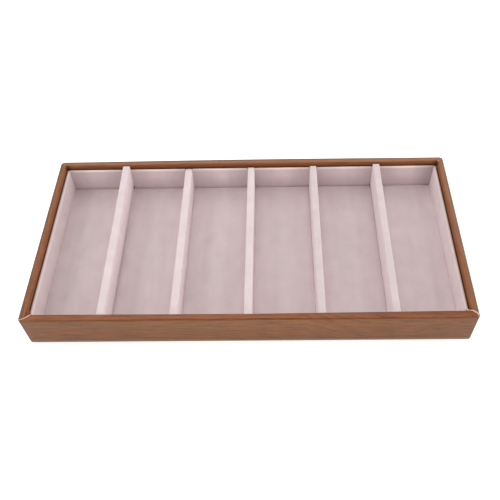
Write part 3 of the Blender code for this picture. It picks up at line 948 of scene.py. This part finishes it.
# How far the dividers' covers reach below their boards, down to the floor lining
FOOT_SINK = DIVIDER_FOOT - FLOOR_HIGH.z
# How far each divider's rear end stands off the floor, and how far it stands right of its front end, from left
# to right
REAR_LIFTS = (5 * MM, 0.1 * MM, 0.9 * MM, 2 * MM, 3.5 * MM)
REAR_SHIFTS = (0.5 * MM, 0.4 * MM, 0.2 * MM, -0.4 * MM, -0.4 * MM)
# How fine a divider's ends are cut, and how long the waves in its pile are
END_SLICE = 0.3 * MM
DIVIDER_WAVE = 15 * MM


def tilt_of(lift, span, height):
    """The angle at which a divider's rear end stands off by its lift."""
    angle = 0
    for _ in range(5):
        length = (span - height * math.sin(angle)) / math.cos(angle)
        angle = math.asin(lift / length)
    return angle


class TRAY_OT_dividers(bpy.types.Operator):
    """Covers the five lift-out dividers with velvet"""

    bl_idname = "tray.dividers"
    bl_label = "Divider covers"

    def execute(self, context):
        sizes = context.scene.tray_sizes
        half, height = sizes.divider_thickness / 2, sizes.divider_height
        rounding, end_round = sizes.divider_round, sizes.divider_end_round
        for place, (lift, shift) in enumerate(zip(REAR_LIFTS, REAR_SHIFTS), 1):
            name = f"divider_{place}"
            low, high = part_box(f"{name}_velvet")
            tilt = tilt_of(lift, high.y - low.y, height)
            length = (high.y - low.y - height * math.sin(tilt)) / math.cos(tilt)
            mesh = open_block((-half, 0, -FOOT_SINK), (half, length, height))
            upright = [edge for edge in mesh.edges if abs(edge.verts[0].co.z - edge.verts[1].co.z) > height / 2]
            bevel(mesh, upright, rounding, END_SEGMENTS)
            bevel(mesh, top_edges(mesh, height), rounding, END_SEGMENTS)
            slice_along(mesh, 1, 0, end_round, END_SLICE)
            slice_along(mesh, 1, length - end_round, length, END_SLICE)
            for vert in mesh.verts:
                if vert.co.z > height - rounding - 0.1 * NEAR:
                    vert.co.z -= drop(end_round, min(vert.co.y, length - vert.co.y))
            slice_along(mesh, 1, 0, length)
            slice_along(mesh, 2, -FOOT_SINK, height)
            for vert in mesh.verts:
                inward = abs(wavering(vert.co, DIVIDER_WAVE, sizes.pile_waver, place * DIVIDER_SEED))
                vert.co.x -= math.copysign(inward, vert.co.x) * min(1, abs(vert.co.x) / half)
                vert.co.x += shift * (vert.co.y / length - 0.5)
            stand = Vector(((low.x + high.x) / 2, low.y + height * math.sin(tilt), DIVIDER_FOOT))
            matrix = Matrix.Translation(stand) @ Matrix.Rotation(tilt, 4, "X")
            bmesh.ops.transform(mesh, matrix=matrix, verts=mesh.verts)
            # The dividers on the left and on the right take copies of the velvet with different painted light
            cloth = velvet_for("left_dividers" if place < 4 else "right_dividers")
            finished(f"{name}_cover", mesh, [cloth], [f"{name}_velvet"], sizes.velvet, name)
        return {"FINISHED"}


class TRAY_OT_boards(bpy.types.Operator):
    """Finishes the bare boards and the cloth under the base"""

    bl_idname = "tray.boards"
    bl_label = "Boards and backing cloth"

    def execute(self, context):
        look = context.scene.tray_colours
        boards = {
            "fibreboard": ("pressed_medium_density_fibreboard", look.fibreboard, FIBREBOARD_FLECK, 0.22),
            "greyboard": ("pressed_grey_paperboard", look.greyboard, GREYBOARD_FLECK, 0.15),
        }
        finishes = {slot: board_material(*given) for slot, given in boards.items()}
        finishes["backing_cloth"] = cloth_material(look.cloth)
        for part in frame["record"]["subparts"]:
            finish = finishes.get(part["material_slot"])
            if finish is None:
                continue
            node = frame["nodes"][part["node"]]
            if not node.material_slots:
                raise RuntimeError(f"{node.name} has no material slot")
            for slot in node.material_slots:
                slot.material = finish
        return {"FINISHED"}


# The camera that was fitted to the photograph
CAMERA_PLACE = (23.057 * MM, -336.965 * MM, 444.819 * MM)
CAMERA_PITCH, CAMERA_YAW, CAMERA_ROLL = (math.radians(angle) for angle in (52.130, -2.2874, -2.4346))
CAMERA_SHIFT = (-0.022112, -0.006028)
CAMERA_NEAR, CAMERA_FAR = 0.01, 50

# How far the lamps stand from the tray, how large they are, and how far each is turned round it and raised, in
# degrees
LAMP_DISTANCE, LAMP_SIZE = 1.5, (0.8, 0.7)
LAMPS = {
    "left": (-90, 40),
    "left_low": (-90, 14),
    "right": (90, 45),
    "right_low": (90, 14),
    "rear": (180, 50),
    "front": (0, 20),
}
# Half the floor's width, and how strongly it glows where it is seen, so that it shows white
FLOOR_REACH = 6
FLOOR_GLOW = 0.5


def set_camera(scene):
    """Sets the camera to look as the photograph does."""
    turn = Matrix.Rotation(-CAMERA_YAW, 4, "Z") @ Matrix.Rotation(math.pi / 2 - CAMERA_PITCH, 4, "X")
    turn @= Matrix.Rotation(CAMERA_ROLL, 4, "Z")
    lens = bpy.data.cameras.new("camera")
    lens.lens = scene.tray_studio.lens
    lens.shift_x, lens.shift_y = CAMERA_SHIFT
    lens.clip_start, lens.clip_end = CAMERA_NEAR, CAMERA_FAR
    camera = bpy.data.objects.new("camera", lens)
    camera.matrix_world = Matrix.Translation(CAMERA_PLACE) @ turn
    scene.collection.objects.link(camera)
    scene.camera = camera


def set_lamps(scene):
    """Sets the soft boxes round the tray."""
    for name, (turned, raised) in LAMPS.items():
        lamp = bpy.data.lights.new(f"{name}_soft_box", "AREA")
        lamp.shape = "RECTANGLE"
        lamp.size, lamp.size_y = LAMP_SIZE
        lamp.energy = getattr(scene.tray_studio, name)
        box = bpy.data.objects.new(lamp.name, lamp)
        turn = Matrix.Rotation(math.radians(turned), 3, "Z") @ Matrix.Rotation(math.radians(-raised), 3, "X")
        box.location = turn @ Vector((0, -LAMP_DISTANCE, 0))
        box.rotation_euler = (-box.location).to_track_quat("-Z", "Y").to_euler()
        box.visible_camera = False
        scene.collection.objects.link(box)


def seen(tree):
    """1 where the camera sees a thing, also in a gloss or through glass, and 0 for the light it throws."""
    rays = add(tree, "ShaderNodeLightPath").node.outputs
    total = rays["Is Camera Ray"]
    for kind in ("Is Glossy Ray", "Is Transmission Ray"):
        total = add(tree, MATH, (total, rays[kind]), operation="MAXIMUM")
    return total


def set_surround(scene):
    """Sets the even white light all round."""
    world = bpy.data.worlds.new("surround")
    world.use_nodes = True
    scene.world = world
    tree = world.node_tree
    strength = add(tree, RANGE, (seen(tree), 0, 1, scene.tray_studio.surround, 1))
    put(tree, tree.nodes["Background"].inputs, {"Color": WHITE, "Strength": strength})


def set_floor(scene):
    """Lays a matt white paper sweep under the tray: it has no grain or gloss that would show."""
    mesh = bmesh.new()
    bmesh.ops.create_grid(mesh, x_segments=1, y_segments=1, size=FLOOR_REACH)
    paper = {"Roughness": 0.9, "Base_Color": scene.tray_colours.floor, "Emission_Color": WHITE}
    made, tree, surface = new_material("matt_white_paper_sweep", **paper)
    glow = add(tree, MATH, (seen(tree), FLOOR_GLOW), operation="MULTIPLY")
    put(tree, surface, {"Emission Strength": glow})
    object_of("studio_floor", mesh, [made])


class TRAY_OT_studio(bpy.types.Operator):
    """Sets the floor, the lamps, the surround and the camera"""

    bl_idname = "tray.studio"
    bl_label = "Studio"

    def execute(self, context):
        for set_up in (set_camera, set_lamps, set_surround, set_floor):
            set_up(context.scene)
        context.scene.view_settings.view_transform = "Standard"
        return {"FINISHED"}


OPERATORS = (
    TRAY_OT_studio,
    TRAY_OT_boards,
    TRAY_OT_wrap,
    TRAY_OT_laps,
    TRAY_OT_floor_lining,
    TRAY_OT_wall_linings,
    TRAY_OT_dividers,
)
GROUPS = {"tray_sizes": TraySizes, "tray_colours": TrayColours, "tray_studio": TrayStudio}


class TRAY_PT_panel(bpy.types.Panel):
    """Lists the tray's pieces, sizes and colours"""

    bl_label = "Divided organizer tray"
    bl_idname = "TRAY_PT_panel"
    bl_space_type = "VIEW_3D"
    bl_region_type = "UI"
    bl_category = "Tray"

    def draw(self, context):
        for one in OPERATORS:
            self.layout.operator(one.bl_idname)
        for name in GROUPS:
            group = getattr(context.scene, name)
            column = self.layout.column()
            for field in group.__annotations__:
                column.prop(group, field)


CLASSES = (*GROUPS.values(), *OPERATORS, TRAY_PT_panel)


def register():
    for one in CLASSES:
        bpy.utils.register_class(one)
    for name, group in GROUPS.items():
        setattr(bpy.types.Scene, name, bpy.props.PointerProperty(type=group))


def unregister():
    for name in GROUPS:
        delattr(bpy.types.Scene, name)
    for one in reversed(CLASSES):
        bpy.utils.unregister_class(one)


def main():
    register()
    for one in OPERATORS:
        group, name = one.bl_idname.split(".")
        getattr(getattr(bpy.ops, group), name)()
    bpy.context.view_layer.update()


if __name__ == "__main__":
    main()
